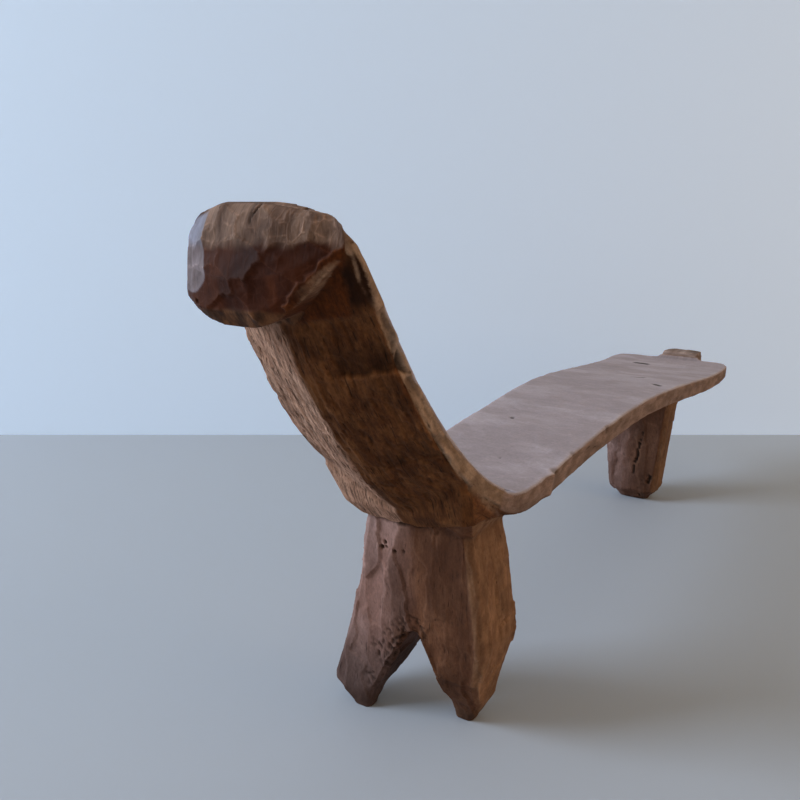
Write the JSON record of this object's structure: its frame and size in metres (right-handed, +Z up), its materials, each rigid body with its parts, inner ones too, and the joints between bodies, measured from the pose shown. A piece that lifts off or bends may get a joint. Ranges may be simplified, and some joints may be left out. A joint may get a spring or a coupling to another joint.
{
  "type": "carved daybed",
  "caption": "Low daybed carved from one block: long waisted seat, raked back with a keel, rounded headrest, forked leg under the bend, plain tapered leg near the foot end.",
  "frame": {"origin": "on the floor below the middle of the overall length and width", "axes": "+X from the head end to the foot end, +Y to the left of a person lying down, +Z up"},
  "size_m": [1.6322, 0.2912, 0.6992],
  "materials": {
    "head_wood": "dark hand-polished patina over broad adze facets",
    "board_wood": "worn weathered hardwood with adze marks, dry underside",
    "leg_wood": "reddish brown adzed hardwood, dusty, with insect holes"
  },
  "bodies": {
    "root": {"headrest": "head_wood", "backrest": "board_wood", "seat": "board_wood", "end_lug": "board_wood", "fork_leg": "leg_wood", "left_foot": "leg_wood", "right_foot": "leg_wood", "tail_leg": "leg_wood"}
  },
  "joints": []
}
